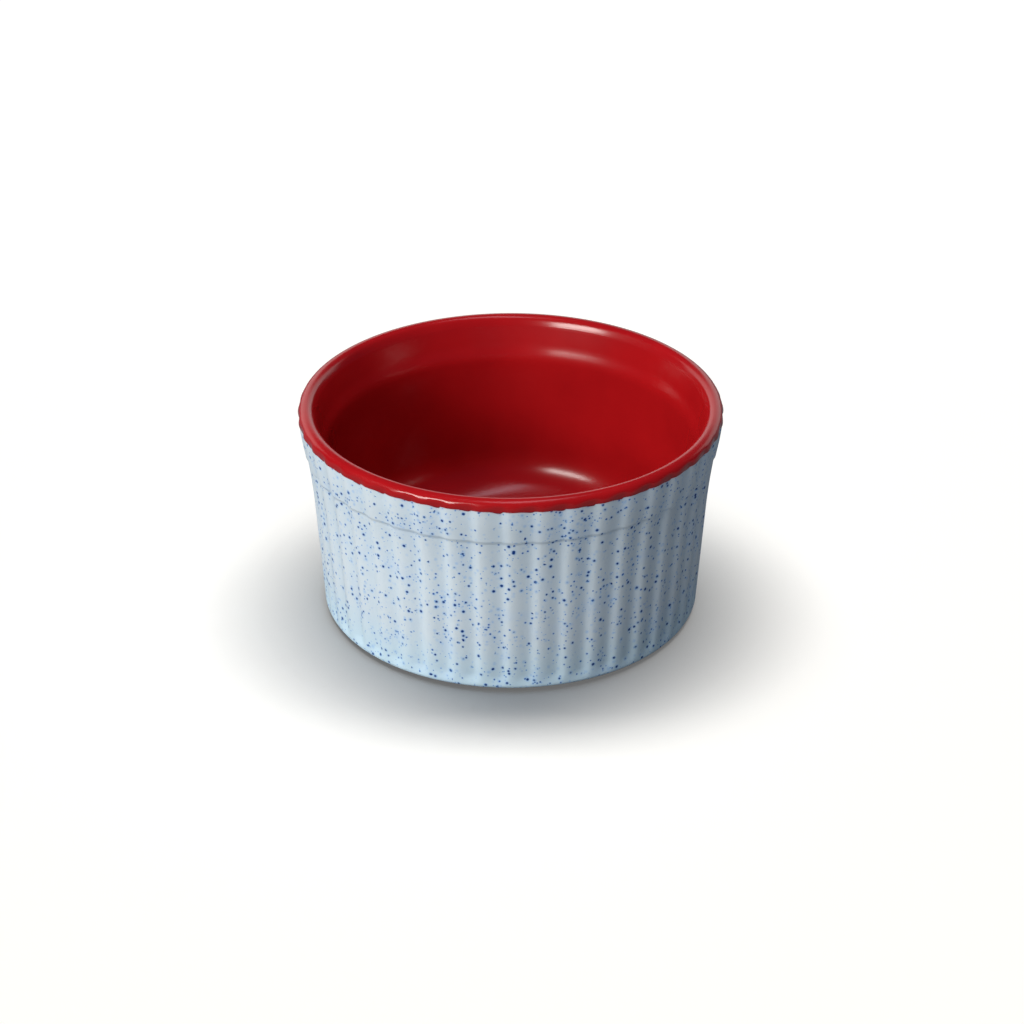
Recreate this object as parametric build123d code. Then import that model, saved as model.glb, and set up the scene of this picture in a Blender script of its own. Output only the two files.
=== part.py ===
from build123d import *
import math
import os

# A fluted stoneware ramekin: one pressed and fired clay body, a red coat inside
# and over the lip, a speckled pale coat outside, and a glazed patch under the floor.
# Millimetres and degrees. The origin is at the centre of the foot, with +Z up.

# Fired clay: overall form
clay_height = 47.6             # foot to the top of the lip
lip_radius = 45.6              # axis to the outermost point of the lip
lip_thickness = 2.6            # across the fully rounded lip
band_height = 9.2              # step to the top of the lip, outside
band_flare = 7.6               # degrees that the band leans out
step_depth = 0.5               # the lower wall lies this far inside the band
step_height = 1.6              # slope between the band and the lower wall
step_round = 1.2               # rounding of both corners of the step
wall_draft = 4.4               # degrees that the lower wall leans out

# Fired clay: inside
wall_thickness = 3.3           # of the lower wall, at the floor
ledge_thickness = 3.9          # of the lower wall, at the foot of the inner ledge
band_thickness = 3.5           # of the band, at the top of the inner ledge
ledge_rise = 3.0               # top of the inner ledge above the outer step
ledge_height = 2.7
ledge_round = 2.4
floor_thickness = 3.4
floor_round = 11.4             # rounding where the wall meets the floor

# Fired clay: base
corner_round = 1.3             # lower outside corner of the wall
foot_height = 0.6              # bare ring that carries the ramekin
foot_inset = 2.3               # from the wall to the outside of the ring
foot_width = 4.6
recess_depth = 1.4             # hollow inside the ring
recess_slope = 1.0             # how far the side of the hollow leans in

# Flutes, alike round the whole wall
flute_count = 45
flute_turn = 0.6               # degrees from the front to the nearest rib
wall_flute_depth = 0.45
band_flute_depth = 0.35
wall_flute_start = 1.8         # foot of the lower flutes above the base of the wall
wall_flute_gap = 0.3           # smooth clay between the lower flutes and the step
band_flute_gap = 0.4           # smooth clay between the step and the upper flutes
lip_flute_gap = 0.3            # smooth clay between the upper flutes and the red edge
foot_run_out = 1.4             # length over which a flute fades out, at its foot
run_out = 0.9                  # length over which its other ends fade out
root_cover = 0.15              # clay behind the bottom of each flute, up to the core
root_overlap = 1.0             # the fluted layer reaches this far into the core

# Glaze coats
red_coat = 0.4
pale_coat = 0.3
dip_depth = 1.8                # top of the lip to the lower edge of the red coat
glaze_lift = 0.35              # lower edge of the pale coat above the base of the wall
wiped_width = 1.6              # bare border round the glazed patch inside the foot

clearance = 2.0                # overrun of every cutting solid

# Heights and radii that follow from the sizes above
lip_round = lip_thickness / 2
z_lip = clay_height - lip_round
z_step_top = clay_height - band_height
z_step_foot = z_step_top - step_height
z_floor = recess_depth + floor_thickness
z_ledge_top = z_step_top + ledge_rise
z_ledge_foot = z_ledge_top - ledge_height
z_dip = clay_height - dip_depth
z_glaze_line = foot_height + glaze_lift
inner_lip_radius = lip_radius - lip_thickness


def band_radius(z):
    """Smooth outside of the band at height z."""
    return lip_radius - (z_lip - z) * math.tan(math.radians(band_flare))


def wall_radius(z):
    """Smooth outside of the lower wall at height z."""
    top = band_radius(z_step_top) - step_depth
    return top - (z_step_foot - z) * math.tan(math.radians(wall_draft))


base_radius = wall_radius(foot_height)
foot_radius = base_radius - foot_inset
foot_inner_radius = foot_radius - foot_width
recess_radius = foot_inner_radius - recess_slope

# Each run of flutes: where it starts and ends, and how its ends fade
wall_flutes = {
    "low": foot_height + wall_flute_start,
    "high": z_step_foot - wall_flute_gap,
    "fade_low": foot_run_out,
    "fade_high": run_out,
    "depth": wall_flute_depth,
    "radius": wall_radius,
    "lean": wall_draft,
}
band_flutes = {
    "low": z_step_top + band_flute_gap,
    "high": z_dip - lip_flute_gap,
    "fade_low": run_out,
    "fade_high": run_out,
    "depth": band_flute_depth,
    "radius": band_radius,
    "lean": band_flare,
}


def clay_section():
    """Half section of the clay without its flutes."""
    corners = [
        ((lip_radius, z_lip), 0),
        ((band_radius(z_step_top), z_step_top), step_round),
        ((wall_radius(z_step_foot), z_step_foot), step_round),
        ((base_radius, foot_height), corner_round),
        ((foot_radius, foot_height), 0),
        ((foot_radius, 0), 0),
        ((foot_inner_radius, 0), 0),
        ((recess_radius, recess_depth), 0),
        ((0, recess_depth), 0),
        ((0, z_floor), 0),
        ((wall_radius(z_floor) - wall_thickness, z_floor), floor_round),
        ((wall_radius(z_ledge_foot) - ledge_thickness, z_ledge_foot), ledge_round),
        ((band_radius(z_ledge_top) - band_thickness, z_ledge_top), ledge_round),
        ((inner_lip_radius, z_lip), 0),
    ]
    points = [point for point, round_radius in corners]
    rounds = [round_radius for point, round_radius in corners[1:-1]]
    outline = FilletPolyline(*points, radius=rounds)
    crown = (lip_radius - lip_round, clay_height)
    lip = ThreePointArc(points[-1], crown, points[0])
    return make_face([*outline.edges(), lip.edge()])


def root_zone(flutes):
    """Part of the half section that a fluted layer fills, outside the core."""
    low, high = flutes["low"], flutes["high"]
    sink = flutes["depth"] + root_cover
    outer = lip_radius + clearance
    corners = [(flutes["radius"](low) - sink, low), (outer, low)]
    corners += [(outer, high), (flutes["radius"](high) - sink, high)]
    return make_face(Polyline(*corners, close=True))


def spun(section):
    """Turn a half section, drawn as radius and height, about the axis."""
    return revolve(Plane.XZ * section, Axis.Z)


def fluted_ring(rib, depth, z):
    """Closed outline at height z: waves from rib to rib, or a circle where the depth is none."""
    pitch = 360 / flute_count
    start = Vector(rib, 0, z)
    bottom = Vector(rib - depth, 0, z).rotate(Axis.Z, pitch / 2)
    end = start.rotate(Axis.Z, pitch)
    if depth:
        along = Axis.Y.direction
        flute = Spline(start, bottom, end, tangents=[along, along.rotate(Axis.Z, pitch)])
    else:
        flute = ThreePointArc(start, bottom, end)
    turns = [flute_turn - 90 + pitch * number for number in range(flute_count)]
    return Face(Wire([flute.rotate(Axis.Z, turn) for turn in turns]))


def fluted_layer(flutes, coat):
    """Tapered layer with flutes on its outside, grown by the thickness of a coat."""
    low, high, depth = flutes["low"], flutes["high"], flutes["depth"]
    levels = [(low, 0), (low + flutes["fade_low"], depth), (high - flutes["fade_high"], depth), (high, 0)]
    grown = coat / math.cos(math.radians(flutes["lean"]))
    outside = loft([fluted_ring(flutes["radius"](z) + grown, cut, z) for z, cut in levels], ruled=True)
    backing = depth + root_cover + root_overlap
    core = loft([Plane.XY.offset(z) * Circle(flutes["radius"](z) - backing) for z in (low, high)], ruled=True)
    return outside - core


def envelope(coat, runs):
    """The clay with every surface grown by one coat, fluted along the given runs."""
    section = clay_section()
    if coat:
        right_side = Pos(lip_radius, clay_height / 2) * Rectangle(2 * lip_radius, 2 * clay_height)
        section = offset(section, amount=coat) & right_side
    for flutes in runs:
        section -= root_zone(flutes)
    solid = spun(section)
    for flutes in runs:
        solid += fluted_layer(flutes, coat)
    return solid


def mid_wall(z):
    """A radius well inside the clay of the wall at height z."""
    outside = band_radius(z) if z > z_step_top else wall_radius(z)
    return outside - wall_flute_depth - wall_thickness / 2


def dip_zone():
    """Space above the red edge and inside the wall."""
    outer = lip_radius + clearance
    top = clay_height + clearance
    z_start = recess_depth + floor_thickness / 2
    corners = [(0, z_start), (mid_wall(z_start), z_start), (mid_wall(z_step_top), z_step_top)]
    corners += [(inner_lip_radius, z_dip), (outer, z_dip), (outer, top), (0, top)]
    return spun(make_face(Polyline(*corners, close=True)))


def outside_zone():
    """Space outside the wall, from the lower glaze edge to the red edge."""
    outer = lip_radius + clearance
    corners = [(outer, z_glaze_line), (mid_wall(z_glaze_line), z_glaze_line)]
    corners += [(mid_wall(z_step_top), z_step_top), (inner_lip_radius, z_dip), (outer, z_dip)]
    return spun(make_face(Polyline(*corners, close=True)))


def stoneware_body():
    return envelope(0, [wall_flutes, band_flutes])


def red_liner_glaze(clay):
    return (envelope(red_coat, []) & dip_zone()) - clay


def speckled_wall_glaze(clay):
    return (envelope(pale_coat, [wall_flutes, band_flutes]) & outside_zone()) - clay


def base_glaze():
    patch = Cylinder(recess_radius - wiped_width, pale_coat)
    return Pos(0, 0, recess_depth - pale_coat / 2) * patch


os.makedirs("parts", exist_ok=True)
clay_body = stoneware_body()
nodes = {
    "stoneware_body": clay_body,
    "red_liner_glaze": red_liner_glaze(clay_body),
    "speckled_wall_glaze": speckled_wall_glaze(clay_body),
    "base_glaze": base_glaze(),
}
for name, solid in nodes.items():
    export_step(solid, f"parts/{name}.step")
    print(name, len(solid.solids()), "solid", round(solid.volume), "mm3")
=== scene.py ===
import bpy
import bmesh
import math
from mathutils import Matrix, Vector, noise


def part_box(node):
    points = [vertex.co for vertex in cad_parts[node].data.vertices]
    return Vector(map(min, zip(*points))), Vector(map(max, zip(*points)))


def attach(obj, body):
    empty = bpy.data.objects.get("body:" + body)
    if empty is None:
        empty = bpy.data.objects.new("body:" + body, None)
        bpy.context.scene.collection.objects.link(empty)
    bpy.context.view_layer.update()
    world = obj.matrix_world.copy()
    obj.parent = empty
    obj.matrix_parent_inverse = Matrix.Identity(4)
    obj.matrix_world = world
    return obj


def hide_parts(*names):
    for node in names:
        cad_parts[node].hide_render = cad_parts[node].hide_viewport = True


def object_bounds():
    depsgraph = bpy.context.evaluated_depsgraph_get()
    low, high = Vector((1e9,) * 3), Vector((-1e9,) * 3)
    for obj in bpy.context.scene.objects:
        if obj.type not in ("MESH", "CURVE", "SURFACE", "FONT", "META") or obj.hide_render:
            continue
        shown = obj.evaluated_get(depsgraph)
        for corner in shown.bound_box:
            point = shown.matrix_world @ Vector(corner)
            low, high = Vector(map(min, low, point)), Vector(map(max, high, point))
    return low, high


# Fluted stoneware ramekin: red gloss glaze inside, pale speckled glaze outside.
# Lengths are in millimetres until a mesh is finished, and then in metres.

mm = 0.001
around = 630                              # steps round the wall, fourteen to each flute
sectors = 15                              # a sector is spun once and then repeated, which is much faster
weld = 0.004                              # points nearer than this are one
segmentsPerRadian, leastSegments = 7, 3   # of a rounded corner

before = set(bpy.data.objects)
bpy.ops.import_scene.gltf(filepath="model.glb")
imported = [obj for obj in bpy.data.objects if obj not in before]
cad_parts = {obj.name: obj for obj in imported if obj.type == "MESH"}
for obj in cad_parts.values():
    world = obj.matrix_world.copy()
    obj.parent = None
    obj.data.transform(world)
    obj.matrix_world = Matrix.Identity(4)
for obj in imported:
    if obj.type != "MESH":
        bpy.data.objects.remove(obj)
cadLow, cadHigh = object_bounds()
print("frame: box of", [round(side / mm, 1) for side in cadHigh - cadLow], "mm")

ramekin = {
    "height": cadHigh.z / mm,             # top of the glazed lip
    "bandTop": 46.14,                     # side of the band, carried on to the top of the lip
    "bandMiddle": (45.47, 42.2),          # radius and height, where the band turns up a little
    "bandFoot": (44.78, 38.1),            # upper corner of the step
    "wallTop": (44.38, 37.3),             # lower corner of the step
    "wallBend": (43.50, 30.4),            # the wall curves outward from here up
    "wallFoot": (41.72, 0.6),
    "bendRound": 110.0,
    "bandRound": 40.0,
    "stepRound": 0.4,
    "cornerRound": 1.1,
    "lipOutsideRound": 1.8,
    "lipInsideRound": 1.5,
    "lipInside": 43.2,                    # inner side of the lip, carried on to its top
    "lipFoot": (42.2, 46.3),              # where the lip turns into the inside of the band
    "lipFootRound": 6.0,
    "ledgeTop": (40.95, 41.3),
    "ledgeFoot": (39.85, 38.6),
    "ledgeTopRound": 12.0,
    "ledgeFootRound": 7.0,
    "floorCorner": (38.0, 5.2),
    "floorRound": 11.0,
    "footOuter": 38.96,                   # bare ring that the ramekin stands on
    "footInner": 34.36,
    "footHeight": 0.6,
    "footRound": 0.35,
    "recessRadius": 33.36,                # hollow under the floor
    "recessHeight": 1.4,
    "recessRound": 0.8,
    "halfWall": 1.75,                     # from the outside to the middle of the wall
    "redCoat": 0.4,
    "paleCoat": 0.3,
    "glazeLine": 0.95,                    # lower edge of the pale glaze
    "dipLine": 45.75,                     # lower edge of the red glaze, outside
}

flutes = {
    "count": 45,
    "crest": 0.2,                         # degrees from the front to the nearest crest
    "fallShare": 0.637,                   # a flute falls gently to its right and rises steeply again
    "pinch": 1.15,                        # above 1 the groove is narrower than the crest
    "wallDepth": 0.47,
    "wallFades": (1.2, 4.2, 36.9, 38.3),  # heights where the lower flutes start, are full, fade and end
    "bandDepth": 0.38,
    "bandFades": (36.9, 38.3, 45.9, 47.5),
    "unevenness": 0.1,                    # share by which the depth wanders, as pressed by hand
    "swayRound": 2.5, "swayUp": 0.05,     # how often it wanders round the wall, and up it
}

dip = {
    "drop": 0.32,                         # how far the red runs down in a groove
    "wander": 0.12,                       # slow rise and fall of the whole line
    "swayRound": 3.0, "swaySeed": 7.0,
    "start": -0.36, "peak": -0.04, "edge": 0.02, "end": 0.1,     # the run, in shares of a flute's width
    "runSeed": (1.7, 3.1, 0.4),
    "leastRun": 0.3, "meanRun": 0.85, "runSpread": 0.9,          # no two runs are alike
    "lift": 0.07,                         # the rolled edge stands this far proud of the pale glaze
    "liftHeight": 1.3,
    "overlap": 0.5,                       # pale glaze under the red
    "poolShadeHeight": 0.35, "poolShadeShare": 0.65,       # darker red where it gathers in a tooth: thicker glaze, plus painted shade of the groove
    "blushAbove": 0.1, "blushBelow": 0.4, "blushShare": 0.55,    # red that bled into the pale glaze
}


def smoothStep(low, high, value):
    share = min(max((value - low) / (high - low), 0.0), 1.0)
    return share * share * (3 - 2 * share)


def angleOf(co):                          # degrees from the front, positive to the right
    return math.degrees(math.atan2(co.x, -co.y))


def fluteDepth(z, angle):
    start, full, fade, end = flutes["wallFades"]
    depth = flutes["wallDepth"] * smoothStep(start, full, z) * (1 - smoothStep(fade, end, z))
    start, full, fade, end = flutes["bandFades"]
    depth += flutes["bandDepth"] * smoothStep(start, full, z) * (1 - smoothStep(fade, end, z))
    turn = math.radians(angle)
    reach = flutes["swayRound"]
    sway = noise.noise(Vector((reach * math.cos(turn), reach * math.sin(turn), z * flutes["swayUp"])))
    return depth * (1 + flutes["unevenness"] * sway)


def grooveShare(angle):                   # 0 on a crest, 1 at the bottom of the groove to its right
    place = (angle - flutes["crest"]) * flutes["count"] / 360 % 1.0
    fall = flutes["fallShare"]
    turn = place / fall if place < fall else 1 + (place - fall) / (1 - fall)
    return (0.5 - 0.5 * math.cos(math.pi * turn))**flutes["pinch"]


def redRun(angle):                        # the red glaze runs down in the grooves and stops short
    flute = (angle - flutes["crest"]) * flutes["count"] / 360 - flutes["fallShare"]
    place = flute - round(flute)
    run = smoothStep(dip["start"], dip["peak"], place) * (1 - smoothStep(dip["edge"], dip["end"], place))
    spacing, second, third = dip["runSeed"]
    vary = noise.noise(Vector((round(flute) * spacing, second, third)))
    return run * max(dip["leastRun"], dip["meanRun"] + dip["runSpread"] * vary)


def redEdge(angle):                       # height of the red glaze's lower edge
    turn = math.radians(angle)
    reach = dip["swayRound"]
    sway = noise.noise(Vector((reach * math.cos(turn), reach * math.sin(turn), dip["swaySeed"])))
    return ramekin["dipLine"] + dip["wander"] * sway - dip["drop"] * redRun(angle)


def profileWire(corners):                 # corners are radius, height and rounding
    bm = bmesh.new()
    verts = [bm.verts.new((radius, 0, height)) for radius, height, rounding in corners]
    for pair in zip(verts, verts[1:]):
        bm.edges.new(pair)
    bm.verts.ensure_lookup_table()
    for vert, (radius, height, rounding) in zip(verts, corners):
        if rounding:
            before, after = [(edge.other_vert(vert).co - vert.co).normalized() for edge in vert.link_edges]
            turn = math.pi - before.angle(after)
            bmesh.ops.bevel(
                bm, geom=[vert], offset=rounding * math.tan(turn / 2), affect="VERTICES",
                segments=max(leastSegments, round(abs(turn) * segmentsPerRadian)), profile=0.5, material=-1)
    return bm


def refineWire(bm, fineZones, coarse):
    def stepAt(co):
        return min([step for low, high, step in fineZones if low <= co.z <= high] + [coarse])
    while True:
        longEdges = [e for e in bm.edges if e.calc_length() > min(stepAt(v.co) for v in e.verts)]
        if not longEdges:
            break
        bmesh.ops.subdivide_edges(bm, edges=longEdges, cuts=1)


def spinWire(bm):
    bmesh.ops.remove_doubles(bm, verts=bm.verts, dist=weld)
    sector = 2 * math.pi / sectors
    bmesh.ops.spin(
        bm, geom=bm.verts[:] + bm.edges[:], cent=(0, 0, 0), axis=(0, 0, 1), dvec=(0, 0, 0),
        angle=sector, steps=around // sectors)
    first = bm.verts[:] + bm.edges[:] + bm.faces[:]
    for number in range(1, sectors):
        copy = bmesh.ops.duplicate(bm, geom=first)["geom"]
        turned = [part for part in copy if isinstance(part, bmesh.types.BMVert)]
        bmesh.ops.rotate(bm, cent=(0, 0, 0), matrix=Matrix.Rotation(sector * number, 3, "Z"), verts=turned)
    bmesh.ops.remove_doubles(bm, verts=bm.verts, dist=weld)
    bmesh.ops.recalc_face_normals(bm, faces=bm.faces)


def midRadius(z):                         # between the outside and the inside of the wall
    low, high = ramekin["wallFoot"], ramekin["wallTop"]
    share = (z - low[1]) / (high[1] - low[1])
    return low[0] + share * (high[0] - low[0]) - ramekin["halfWall"]


def bandRadius(z):                        # outside of the band, above its middle
    radius, height = ramekin["bandMiddle"]
    lean = (ramekin["bandTop"] - radius) / (ramekin["height"] - height)
    return radius + lean * (z - height)


def fluteOutside(bm):                     # flutes go on what lies outside the middle of the wall
    share = bm.verts.layers.float.new("hollow")
    for vert in bm.verts:
        radius = math.hypot(vert.co.x, vert.co.y)
        if radius > midRadius(vert.co.z):
            angle = angleOf(vert.co)
            depth = fluteDepth(vert.co.z, angle)
            groove = grooveShare(angle)
            moved = 1 - depth * groove / radius
            vert.co.x *= moved
            vert.co.y *= moved
            vert[share] = groove * min(depth / flutes["bandDepth"], 1)


def finishPiece(bm, name, node, material):
    bmesh.ops.scale(bm, vec=(mm, mm, mm), verts=bm.verts)
    for face in bm.faces:
        face.smooth = True
    mesh = bpy.data.meshes.new(name)
    bm.to_mesh(mesh)
    bm.free()
    piece = bpy.data.objects.new(name, mesh)
    bpy.context.scene.collection.objects.link(piece)
    mesh.materials.append(material)
    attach(piece, "root")
    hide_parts(node)
    print("piece:", name, len(mesh.polygons), "faces")
    return piece


def linear(hexColour):                    # sRGB hex to linear RGBA
    channels = [int(hexColour[i:i + 2], 16) / 255 for i in (1, 3, 5)]
    return tuple(c / 12.92 if c <= 0.04045 else ((c + 0.055) / 1.055)**2.4 for c in channels) + (1.0,)


def addNode(tree, kind, inputs=None, **settings):
    node = tree.nodes.new(kind)
    for name, value in settings.items():
        setattr(node, name, value)
    for name, value in (inputs or {}).items():
        if isinstance(value, bpy.types.NodeSocket):
            tree.links.new(value, node.inputs[name])
        else:
            node.inputs[name].default_value = value
    return node


mixShare, mixA, mixB, mixOut = 0, 6, 7, 2   # sockets of a Mix node that mixes colours


def newMaterial(name):
    material = bpy.data.materials.new(name)
    material.use_nodes = True
    tree = material.node_tree
    tree.nodes.clear()
    return material, tree


def perMetre(size):                       # pattern scale for a size in millimetres
    return 1 / (size * mm)


redFinish = {
    "colour": "#A81317",
    "deep": "#8C0C11",                    # where the coat is thick
    "edge": "#4A1228",                    # red pooled over the blue-grey glaze, darkened further by painted shade of the groove
    "roughness": 0.2,
    "ior": 1.52,
    "cloud": 14.0, "cloudDetail": 3.0,    # millimetres across
    "ripple": 2.6, "rippleDetail": 1.0, "rippleHeight": 0.005,
}


def redGlossGlaze():
    # Glossy red glaze, dipped and fired: a deep even red, soft-edged lamp reflections, a faint ripple
    material, tree = newMaterial("redGlossGlaze")
    place = addNode(tree, "ShaderNodeTexCoord").outputs["Object"]
    cloud = addNode(tree, "ShaderNodeTexNoise", {
        "Vector": place, "Scale": perMetre(redFinish["cloud"]), "Detail": redFinish["cloudDetail"]})
    body = addNode(tree, "ShaderNodeMix", {
        mixShare: cloud.outputs["Fac"], mixA: linear(redFinish["colour"]), mixB: linear(redFinish["deep"])},
        data_type="RGBA")
    # darker red at the teeth: thicker glaze, plus painted shade of the grooves
    poolAndShade = addNode(tree, "ShaderNodeAttribute", attribute_name="poolAndShade")
    colour = addNode(tree, "ShaderNodeMix", {
        mixShare: poolAndShade.outputs["Fac"], mixA: body.outputs[mixOut], mixB: linear(redFinish["edge"])},
        data_type="RGBA")
    ripple = addNode(tree, "ShaderNodeTexNoise", {
        "Vector": place, "Scale": perMetre(redFinish["ripple"]), "Detail": redFinish["rippleDetail"]})
    bump = addNode(tree, "ShaderNodeBump", {
        "Height": ripple.outputs["Fac"], "Distance": redFinish["rippleHeight"] * mm, "Strength": 1.0})
    shader = addNode(tree, "ShaderNodeBsdfPrincipled", {
        "Base Color": colour.outputs[mixOut], "Roughness": redFinish["roughness"], "IOR": redFinish["ior"],
        "Normal": bump.outputs["Normal"]})
    addNode(tree, "ShaderNodeOutputMaterial", {"Surface": shader.outputs["BSDF"]})
    return material


paleFinish = {
    "rib": "#D3DDE4",                     # thin on the crests
    "hollow": "#BFD1E0",                  # thicker and bluer in the grooves
    "pooled": 0.35,
    "mottle": 2.6, "mottleDetail": 4.0, "mottleShare": 0.5,      # soft patches, millimetres across
    "foot": "#BFDDEE",                    # thickest towards the foot
    "footFade": (1.0, 13.0), "footShare": 0.8,
    "wash": "#B2CCEC",                    # cobalt that bled among the specks
    "washFade": (0.5, 0.72), "washShare": 0.25,
    "blush": "#D08A98",                   # red that bled into the pale glaze
    "roughness": 0.5,
    "ior": 1.36,
    "ripple": 1.8, "rippleDetail": 2.0, "rippleHeight": 0.012,
}

specks = {
    "kinds": [                            # cell, radius, share of cells, colour, strength of the halo
        (1.5, 0.45, 0.62, "#0F3A80", 0.6),
        (1.15, 0.30, 0.60, "#1E58A8", 0.45),
        (0.95, 0.20, 0.65, "#6298D2", 0.25),
    ],
    "shift": (0.037, 0.011, 0.023),       # metres; sets each kind's pattern apart from the others
    "halo": "#84B4E6",
    "haloReach": 1.9,                     # in radii of the speck
    "coreShare": 0.55,                    # the full colour reaches this far, and then fades
    "leastSize": 0.55,                    # the smallest speck of a kind, as a share of the largest
    "cluster": 6.0, "clusterDetail": 1.0,
    "clusterRange": (0.3, 0.7), "clusterShare": (0.45, 1.55),    # few specks between clusters, many in them
    "wobble": 0.5, "wobbleDetail": 1.0, "wobbleReach": 0.14,     # bends their outlines
}


def speckledSatinGlaze():
    # Pale blue-grey stoneware glaze with cobalt specks melted into it: soft sheen, dots with a bleeding edge
    material, tree = newMaterial("speckledSatinGlaze")
    place = addNode(tree, "ShaderNodeTexCoord").outputs["Object"]
    hollow = addNode(tree, "ShaderNodeAttribute", attribute_name="hollow")
    mottle = addNode(tree, "ShaderNodeTexNoise", {
        "Vector": place, "Scale": perMetre(paleFinish["mottle"]), "Detail": paleFinish["mottleDetail"]})
    uneven = addNode(tree, "ShaderNodeMath", {
        0: mottle.outputs["Fac"], 1: paleFinish["mottleShare"]}, operation="MULTIPLY").outputs["Value"]
    thick = addNode(tree, "ShaderNodeMath", {
        0: hollow.outputs["Fac"], 1: paleFinish["pooled"], 2: uneven},
        operation="MULTIPLY_ADD").outputs["Value"]
    colour = addNode(tree, "ShaderNodeMix", {
        mixShare: thick, mixA: linear(paleFinish["rib"]), mixB: linear(paleFinish["hollow"])},
        data_type="RGBA").outputs[mixOut]
    height = addNode(tree, "ShaderNodeSeparateXYZ", {"Vector": place}).outputs["Z"]
    footLow, footHigh = paleFinish["footFade"]
    low = addNode(tree, "ShaderNodeMapRange", {
        "Value": height, "From Min": footLow * mm, "From Max": footHigh * mm,
        "To Min": paleFinish["footShare"], "To Max": 0.0}).outputs["Result"]
    colour = addNode(tree, "ShaderNodeMix", {
        mixShare: low, mixA: colour, mixB: linear(paleFinish["foot"])}, data_type="RGBA").outputs[mixOut]
    cluster = addNode(tree, "ShaderNodeTexNoise", {
        "Vector": place, "Scale": perMetre(specks["cluster"]),
        "Detail": specks["clusterDetail"]}).outputs["Fac"]
    washLow, washHigh = paleFinish["washFade"]
    wash = addNode(tree, "ShaderNodeMapRange", {
        "Value": cluster, "From Min": washLow, "From Max": washHigh,
        "To Min": 0.0, "To Max": paleFinish["washShare"]}).outputs["Result"]
    colour = addNode(tree, "ShaderNodeMix", {
        mixShare: wash, mixA: colour, mixB: linear(paleFinish["wash"])}, data_type="RGBA").outputs[mixOut]
    colour = speckled(tree, place, cluster, colour)
    blush = addNode(tree, "ShaderNodeAttribute", attribute_name="blush").outputs["Fac"]
    colour = addNode(tree, "ShaderNodeMix", {
        mixShare: blush, mixA: colour, mixB: linear(paleFinish["blush"])}, data_type="RGBA").outputs[mixOut]
    ripple = addNode(tree, "ShaderNodeTexNoise", {
        "Vector": place, "Scale": perMetre(paleFinish["ripple"]), "Detail": paleFinish["rippleDetail"]})
    bump = addNode(tree, "ShaderNodeBump", {
        "Height": ripple.outputs["Fac"], "Distance": paleFinish["rippleHeight"] * mm, "Strength": 1.0})
    shader = addNode(tree, "ShaderNodeBsdfPrincipled", {
        "Base Color": colour, "Roughness": paleFinish["roughness"], "IOR": paleFinish["ior"],
        "Normal": bump.outputs["Normal"]})
    addNode(tree, "ShaderNodeOutputMaterial", {"Surface": shader.outputs["BSDF"]})
    return material


def speckled(tree, place, cluster, colour):      # the colour with specks and their halos over it
    wobble = addNode(tree, "ShaderNodeTexNoise", {
        "Vector": place, "Scale": perMetre(specks["wobble"]), "Detail": specks["wobbleDetail"]})
    bent = addNode(tree, "ShaderNodeVectorMath", {
        0: wobble.outputs["Color"], 1: (specks["wobbleReach"] * mm,) * 3, 2: place},
        operation="MULTIPLY_ADD").outputs["Vector"]
    few, many = specks["clusterShare"]
    sparse, dense = specks["clusterRange"]
    along, across, up = specks["shift"]
    for number, (cell, radius, share, tint, halo) in enumerate(specks["kinds"], 1):
        shifted = addNode(tree, "ShaderNodeVectorMath", {
            0: bent, 1: (along * number, across, up)}, operation="ADD").outputs["Vector"]
        dots = addNode(tree, "ShaderNodeTexVoronoi", {
            "Vector": shifted, "Scale": perMetre(cell), "Randomness": 1.0})
        away = dots.outputs["Distance"]
        chance = addNode(tree, "ShaderNodeSeparateColor", {"Color": dots.outputs["Color"]})
        limit = addNode(tree, "ShaderNodeMapRange", {
            "Value": cluster, "From Min": sparse, "From Max": dense,
            "To Min": share * few, "To Max": share * many}).outputs["Result"]
        present = addNode(tree, "ShaderNodeMath", {
            0: chance.outputs["Red"], 1: limit}, operation="LESS_THAN").outputs["Value"]
        reach = addNode(tree, "ShaderNodeMapRange", {
            "Value": chance.outputs["Green"], "To Min": radius / cell * specks["leastSize"],
            "To Max": radius / cell}).outputs["Result"]
        inner = addNode(tree, "ShaderNodeMath", {
            0: reach, 1: specks["coreShare"]}, operation="MULTIPLY").outputs["Value"]
        core = addNode(tree, "ShaderNodeMapRange", {
            "Value": away, "From Min": inner, "From Max": reach, "To Min": 1.0, "To Max": 0.0},
            interpolation_type="SMOOTHSTEP").outputs["Result"]
        wide = addNode(tree, "ShaderNodeMath", {
            0: reach, 1: specks["haloReach"]}, operation="MULTIPLY").outputs["Value"]
        glow = addNode(tree, "ShaderNodeMapRange", {
            "Value": away, "From Min": inner, "From Max": wide, "To Min": halo, "To Max": 0.0},
            interpolation_type="SMOOTHSTEP").outputs["Result"]
        for shown, over in ((glow, specks["halo"]), (core, tint)):
            cover = addNode(tree, "ShaderNodeMath", {
                0: shown, 1: present}, operation="MULTIPLY").outputs["Value"]
            colour = addNode(tree, "ShaderNodeMix", {
                mixShare: cover, mixA: colour, mixB: linear(over)}, data_type="RGBA").outputs[mixOut]
    return colour


clayFinish = {
    "colour": "#D9CDB9",
    "grain": "#B9A88F", "grainSize": 0.5, "grainDetail": 4.0, "grainRoughness": 0.7, "grainHeight": 0.03,
    "roughness": 0.85,
}


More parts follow.
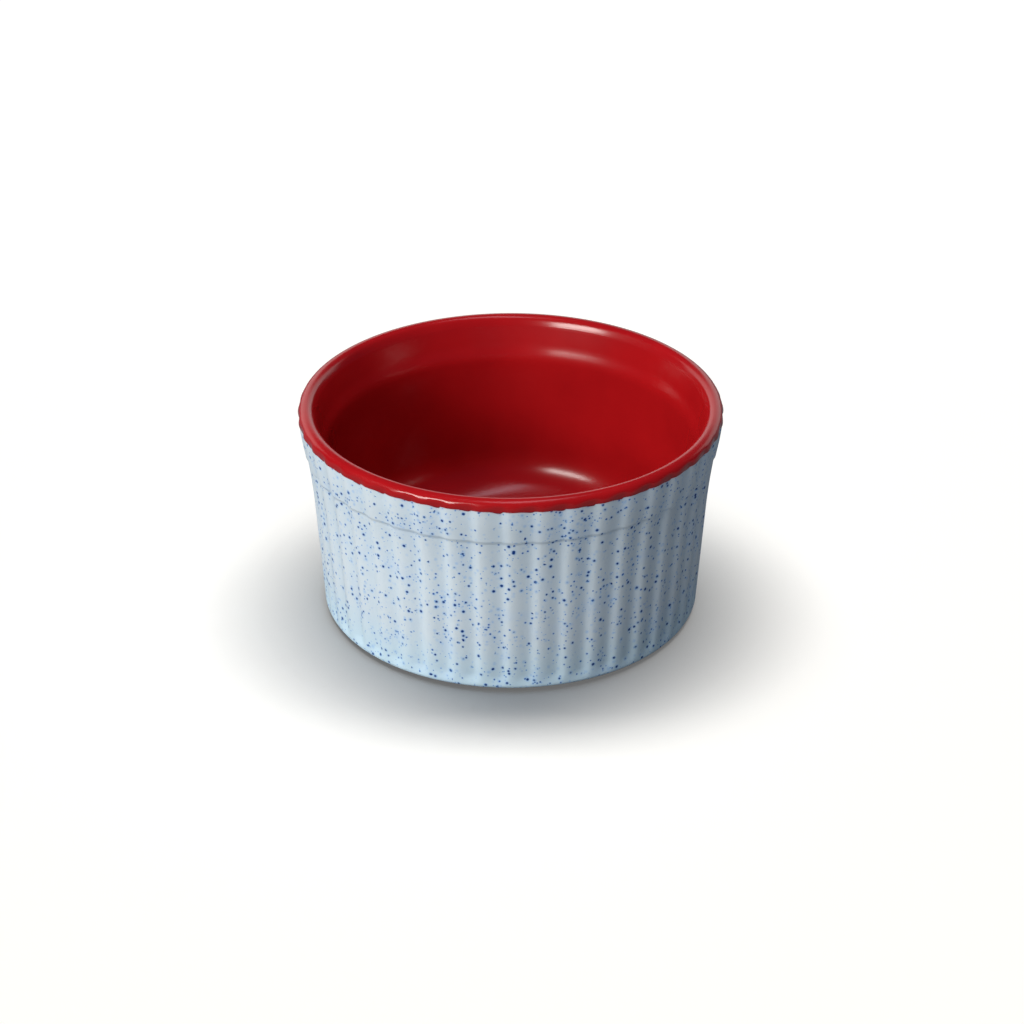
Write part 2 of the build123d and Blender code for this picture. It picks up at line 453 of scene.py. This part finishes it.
def bareStoneware():
    # Fired stoneware left bare on the foot: matt, cream, with fine sandy grain
    material, tree = newMaterial("bareStoneware")
    place = addNode(tree, "ShaderNodeTexCoord").outputs["Object"]
    grain = addNode(tree, "ShaderNodeTexNoise", {
        "Vector": place, "Scale": perMetre(clayFinish["grainSize"]), "Detail": clayFinish["grainDetail"],
        "Roughness": clayFinish["grainRoughness"]}).outputs["Fac"]
    colour = addNode(tree, "ShaderNodeMix", {
        mixShare: grain, mixA: linear(clayFinish["colour"]), mixB: linear(clayFinish["grain"])},
        data_type="RGBA").outputs[mixOut]
    bump = addNode(tree, "ShaderNodeBump", {
        "Height": grain, "Distance": clayFinish["grainHeight"] * mm, "Strength": 1.0})
    shader = addNode(tree, "ShaderNodeBsdfPrincipled", {
        "Base Color": colour, "Roughness": clayFinish["roughness"], "Normal": bump.outputs["Normal"]})
    addNode(tree, "ShaderNodeOutputMaterial", {"Surface": shader.outputs["BSDF"]})
    return material


def outsideCorners(inset=0.0):            # from the foot of the wall to the top of the band
    return [
        (ramekin["wallFoot"][0] - inset, ramekin["wallFoot"][1], ramekin["cornerRound"]),
        (ramekin["wallBend"][0] - inset, ramekin["wallBend"][1], ramekin["bendRound"]),
        (ramekin["wallTop"][0] - inset, ramekin["wallTop"][1], ramekin["stepRound"]),
        (ramekin["bandFoot"][0] - inset, ramekin["bandFoot"][1], ramekin["stepRound"]),
        (ramekin["bandMiddle"][0] - inset, ramekin["bandMiddle"][1], ramekin["bandRound"]),
    ]


def lipCorners(inset=0.0):                # over the lip, outside to inside
    top = ramekin["height"] - inset
    return [
        (ramekin["bandTop"] - inset, top, ramekin["lipOutsideRound"] - inset),
        (ramekin["lipInside"] + inset, top, ramekin["lipInsideRound"] - inset),
        (ramekin["lipFoot"][0] + inset, ramekin["lipFoot"][1], ramekin["lipFootRound"]),
    ]


def insideCorners(inset=0.0):             # down the inside to the axis
    floorTop = ramekin["floorCorner"][1] - inset
    return [
        (ramekin["ledgeTop"][0] + inset, ramekin["ledgeTop"][1], ramekin["ledgeTopRound"]),
        (ramekin["ledgeFoot"][0] + inset, ramekin["ledgeFoot"][1], ramekin["ledgeFootRound"]),
        (ramekin["floorCorner"][0] + inset, floorTop, ramekin["floorRound"]),
        (0, floorTop, 0),
    ]


clayMesh = {"longest": 3.0}               # longest edge of the outline that is spun


def clayBody():
    bare = ramekin["footHeight"]
    corners = [
        (0, ramekin["recessHeight"], 0),
        (ramekin["recessRadius"], ramekin["recessHeight"], ramekin["recessRound"]),
        (ramekin["footInner"], 0, ramekin["footRound"]),
        (ramekin["footOuter"], 0, ramekin["footRound"]),
        (ramekin["footOuter"], bare, 0),
    ]
    corners += outsideCorners(ramekin["paleCoat"])
    corners += lipCorners(ramekin["redCoat"]) + insideCorners(ramekin["redCoat"])
    bm = profileWire(corners)
    refineWire(bm, [], clayMesh["longest"])
    spinWire(bm)
    fluteOutside(bm)
    return finishPiece(bm, "clayBody", "stoneware_body", bareStoneware())


redMesh = {
    "longest": 4.0,
    "zones": [                            # low, high and longest edge between them
        (ramekin["dipLine"] - 0.1, ramekin["dipLine"] + 0.5, 0.13),
        (38.0, 42.0, 1.2),
    ],
    "insideMargin": 0.5,                  # the outside of the coat starts this far out from the middle
}


def redGlaze():
    start = ramekin["dipLine"]
    corners = [(bandRadius(start), start, 0)] + lipCorners() + insideCorners()
    bm = profileWire(corners)
    refineWire(bm, redMesh["zones"], redMesh["longest"])
    spinWire(bm)
    bmesh.ops.solidify(bm, geom=bm.faces[:], thickness=ramekin["redCoat"])
    fluteOutside(bm)
    poolAndShade = bm.verts.layers.float.new("poolAndShade")
    for vert in bm.verts:
        radius = math.hypot(vert.co.x, vert.co.y)
        outside = radius > midRadius(vert.co.z) + redMesh["insideMargin"]
        if outside and vert.co.z < start + dip["liftHeight"]:
            angle = angleOf(vert.co)
            edge = redEdge(angle)
            near = 1 - smoothStep(0, dip["liftHeight"], vert.co.z - start)
            proud = 1 + dip["lift"] * near / radius
            vert.co.x *= proud
            vert.co.y *= proud
            vert.co.z += near * (edge - start)
            # the tooth's darker red is thicker glaze plus painted shade of the groove
            thick = 1 - smoothStep(0, dip["poolShadeHeight"], vert.co.z - edge)
            vert[poolAndShade] = dip["poolShadeShare"] * redRun(angle) * thick
    return finishPiece(bm, "redGlaze", "red_liner_glaze", redGlossGlaze())


paleMesh = {
    "longest": 3.2,
    "zones": [                            # the dip line, the step and the foot
        (ramekin["dipLine"] - 0.9, ramekin["dipLine"] + 0.5, 0.13),
        (36.5, 38.9, 0.3),
        (0.0, 5.5, 0.7),
    ],
    "underReach": 0.4,                    # how near the coat comes to the foot before it is cut off
    "cutWeld": 0.001,
}


def speckledGlaze(material):
    top = ramekin["dipLine"] + dip["overlap"]
    under = (ramekin["footOuter"] + paleMesh["underReach"], ramekin["wallFoot"][1], 0)
    corners = [under] + outsideCorners() + [(bandRadius(top), top, 0)]
    bm = profileWire(corners)
    refineWire(bm, paleMesh["zones"], paleMesh["longest"])
    spinWire(bm)
    bmesh.ops.bisect_plane(
        bm, geom=bm.verts[:] + bm.edges[:] + bm.faces[:], dist=paleMesh["cutWeld"],
        plane_co=(0, 0, ramekin["glazeLine"]), plane_no=(0, 0, 1), clear_inner=True)
    bmesh.ops.solidify(bm, geom=bm.faces[:], thickness=ramekin["paleCoat"])
    fluteOutside(bm)
    blush = bm.verts.layers.float.new("blush")
    for vert in bm.verts:
        below = redEdge(angleOf(vert.co)) - vert.co.z
        vert[blush] = dip["blushShare"] * (1 - smoothStep(-dip["blushAbove"], dip["blushBelow"], below))
    return finishPiece(bm, "speckledGlaze", "speckled_wall_glaze", material)


baseMesh = {"longest": 4.0, "roundShare": 0.4}     # rounding of its edge, as a share of its thickness


def baseGlaze(material):
    low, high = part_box("base_glaze")
    radius, bottom, top = high.x / mm, low.z / mm, high.z / mm
    rounding = (top - bottom) * baseMesh["roundShare"]
    bm = profileWire([(0, bottom, 0), (radius, bottom, rounding), (radius, top, 0), (0, top, 0)])
    refineWire(bm, [], baseMesh["longest"])
    spinWire(bm)
    return finishPiece(bm, "baseGlaze", "base_glaze", material)


clay = clayBody()
red = redGlaze()
paleMaterial = speckledSatinGlaze()
pale = speckledGlaze(paleMaterial)
base = baseGlaze(paleMaterial)
pieces = [clay, red, pale, base]

studio = {
    "distance": 0.506, "elevation": 29.17, "target": 23.95,      # camera, metres, degrees, millimetres
    "lens": 80.4, "sensor": 36, "shiftX": 0.00127, "shiftY": -0.0154, "clipStart": 0.01,
    "floorSide": 12.0,
    "floorBounce": "#7E858E",             # what the floor gives back to the ramekin, and shows in its glaze
    "paintedShadowReach": 30.0, "paintedShadowSamples": 32,      # painted shadow: the paper's colour darkens this near to the ramekin
    "paperShadow": 0.14,                  # the paper is never darker than this
    "ambient": "#D6E4F2", "ambientStrength": 0.07,
    "room": "#2E2C3C",                    # dark walls that the glaze mirrors
    "roomRadius": 3.0, "roomSegments": (72, 36),
    "gapSide": 60, "gapLow": 5, "gapHigh": 28,       # pale gap in them, degrees from straight behind, and up
}

softboxes = [                             # angles in degrees, distance and sides in metres
    {"name": "frontWindow", "azimuth": -42, "elevation": 26, "distance": 1.0, "width": 0.50, "height": 0.26,
     "radiance": 16.2, "colour": "#FFFDF8", "mirrored": True},
    {"name": "sideWindow", "azimuth": -75, "elevation": 30, "distance": 1.0, "width": 0.5, "height": 0.5,
     "radiance": 5.2, "colour": "#FFFDF8", "mirrored": False},
    {"name": "skyPanel", "azimuth": -20, "elevation": 84, "distance": 1.0, "width": 0.5, "height": 0.5,
     "radiance": 7.0, "colour": "#FFFFFF", "mirrored": False},
    {"name": "frontCard", "azimuth": 0, "elevation": 9, "distance": 1.0, "width": 0.8, "height": 0.14,
     "radiance": 3.4, "colour": "#F4F8FF", "mirrored": False},
    {"name": "backCard", "azimuth": 165, "elevation": 9, "distance": 1.0, "width": 0.8, "height": 0.14,
     "radiance": 7.0, "colour": "#FFFFFF", "mirrored": False},
    {"name": "rightCard", "azimuth": 80, "elevation": 6, "distance": 1.0, "width": 0.5, "height": 0.14,
     "radiance": 1.5, "colour": "#F0F6FF", "mirrored": False},
    {"name": "ceilingTube", "azimuth": 60, "elevation": 86, "distance": 1.0, "width": 0.6, "height": 0.14,
     "radiance": 2.9, "colour": "#F0EEFF", "mirrored": True},
]
topSoftbox = {"name": "topSoftbox", "azimuth": 180, "elevation": 76, "distance": 4.0, "width": 4.7,
              "height": 1.43, "radiance": 8.2, "colour": "#FFFCF6", "mirrored": True}


def makeCamera():
    data = bpy.data.cameras.new("camera")
    data.lens = studio["lens"]
    data.sensor_width = studio["sensor"]
    data.shift_x = studio["shiftX"]
    data.shift_y = studio["shiftY"]
    data.clip_start = studio["clipStart"]
    camera = bpy.data.objects.new("camera", data)
    bpy.context.scene.collection.objects.link(camera)
    tilt = math.radians(studio["elevation"])
    away = studio["distance"]
    camera.location = (0, -away * math.cos(tilt), studio["target"] * mm + away * math.sin(tilt))
    camera.rotation_euler = (math.pi / 2 - tilt, 0, 0)
    bpy.context.scene.camera = camera


def seenDirectly(tree, mirrored):         # 1 for camera and see-through rays, and where asked mirrored ones
    path = addNode(tree, "ShaderNodeLightPath")
    seen = addNode(tree, "ShaderNodeMath", {
        0: path.outputs["Is Camera Ray"], 1: path.outputs["Is Transmission Ray"]}, operation="MAXIMUM")
    if mirrored:
        seen = addNode(tree, "ShaderNodeMath", {
            0: seen.outputs["Value"], 1: path.outputs["Is Glossy Ray"]}, operation="MAXIMUM")
    return seen.outputs["Value"]


def makeFloor():
    bm = bmesh.new()
    bmesh.ops.create_grid(bm, x_segments=1, y_segments=1, size=studio["floorSide"] / 2)
    mesh = bpy.data.meshes.new("paperFloor")
    bm.to_mesh(mesh)
    bm.free()
    floor = bpy.data.objects.new("paperFloor", mesh)
    bpy.context.scene.collection.objects.link(floor)
    material, tree = newMaterial("whitePaperPaintedShadow")       # plain matt paper; the ramekin's shadow on it is cast by the lamp and deepened by painted shadow
    # painted shadow: ambient occlusion darkens the paper's colour near the ramekin
    near = addNode(tree, "ShaderNodeAmbientOcclusion", {
        "Distance": studio["paintedShadowReach"] * mm}, samples=studio["paintedShadowSamples"])
    white = addNode(tree, "ShaderNodeBsdfDiffuse", {"Color": near.outputs["AO"]}).outputs["BSDF"]
    least = addNode(tree, "ShaderNodeEmission", {
        "Color": linear("#FFFFFF"), "Strength": studio["paperShadow"]}).outputs["Emission"]
    shown = addNode(tree, "ShaderNodeAddShader", {0: white, 1: least}).outputs["Shader"]
    bounce = addNode(tree, "ShaderNodeBsdfDiffuse", {"Color": linear(studio["floorBounce"])}).outputs["BSDF"]
    surface = addNode(tree, "ShaderNodeMixShader", {0: seenDirectly(tree, False), 1: bounce, 2: shown})
    addNode(tree, "ShaderNodeOutputMaterial", {"Surface": surface.outputs["Shader"]})
    mesh.materials.append(material)
    return floor


def makeWorld():
    world = bpy.data.worlds.new("studio")
    world.use_nodes = True
    tree = world.node_tree
    tree.nodes.clear()
    dim = addNode(tree, "ShaderNodeBackground", {
        "Color": linear(studio["ambient"]), "Strength": studio["ambientStrength"]})
    white = addNode(tree, "ShaderNodeBackground", {"Color": linear("#FFFFFF"), "Strength": 1.0})
    both = addNode(tree, "ShaderNodeMixShader", {
        0: seenDirectly(tree, True), 1: dim.outputs["Background"], 2: white.outputs["Background"]})
    addNode(tree, "ShaderNodeOutputWorld", {"Surface": both.outputs["Shader"]})
    bpy.context.scene.world = world


def makeDarkRoom():                       # what the glaze mirrors, with a pale gap low behind the ramekin
    bm = bmesh.new()
    meridians, rings = studio["roomSegments"]
    bmesh.ops.create_uvsphere(bm, u_segments=meridians, v_segments=rings, radius=studio["roomRadius"])
    gap = []
    for face in bm.faces:
        middle = face.calc_center_median()
        up = math.degrees(math.asin(middle.z / middle.length))
        behind = abs(math.degrees(math.atan2(middle.x, middle.y)))
        if up < 0 or (behind < studio["gapSide"] and studio["gapLow"] < up < studio["gapHigh"]):
            gap.append(face)
    bmesh.ops.delete(bm, geom=gap, context="FACES")
    mesh = bpy.data.meshes.new("darkRoom")
    bm.to_mesh(mesh)
    bm.free()
    room = bpy.data.objects.new("darkRoom", mesh)
    bpy.context.scene.collection.objects.link(room)
    material, tree = newMaterial("darkRoomWalls")     # dim unlit walls
    dim = addNode(tree, "ShaderNodeEmission", {"Color": linear(studio["room"]), "Strength": 1.0})
    addNode(tree, "ShaderNodeOutputMaterial", {"Surface": dim.outputs["Emission"]})
    mesh.materials.append(material)
    room.visible_camera = False
    room.visible_diffuse = False
    room.visible_shadow = False
    room.visible_transmission = False


def softbox(box, lights):
    data = bpy.data.lights.new(box["name"], "AREA")
    data.shape = "RECTANGLE"
    data.size = box["width"]
    data.size_y = box["height"]
    data.energy = box["radiance"] * math.pi * box["width"] * box["height"]
    data.color = linear(box["colour"])[:3]
    lamp = bpy.data.objects.new(box["name"], data)
    bpy.context.scene.collection.objects.link(lamp)
    side, up = math.radians(box["azimuth"]), math.radians(box["elevation"])
    away = Vector((math.sin(side) * math.cos(up), -math.cos(side) * math.cos(up), math.sin(up)))
    lamp.location = away * box["distance"] + Vector((0, 0, studio["target"] * mm))
    lamp.rotation_euler = away.to_track_quat("Z", "Y").to_euler()
    lamp.light_linking.receiver_collection = lights
    lamp.visible_glossy = box["mirrored"]
    lamp.visible_camera = False


def litGroup(name, objects):
    group = bpy.data.collections.new(name)
    for member in objects:
        group.objects.link(member)
    return group


makeCamera()
makeWorld()
makeDarkRoom()
floor = makeFloor()
onRamekin = litGroup("ramekinOnly", pieces)
onFloor = litGroup("floorOnly", [floor])
for box in softboxes:
    softbox(box, onRamekin)
softbox(topSoftbox, onFloor)
print("studio: camera, floor, room and lamps")

bpy.context.scene.view_settings.view_transform = "Standard"
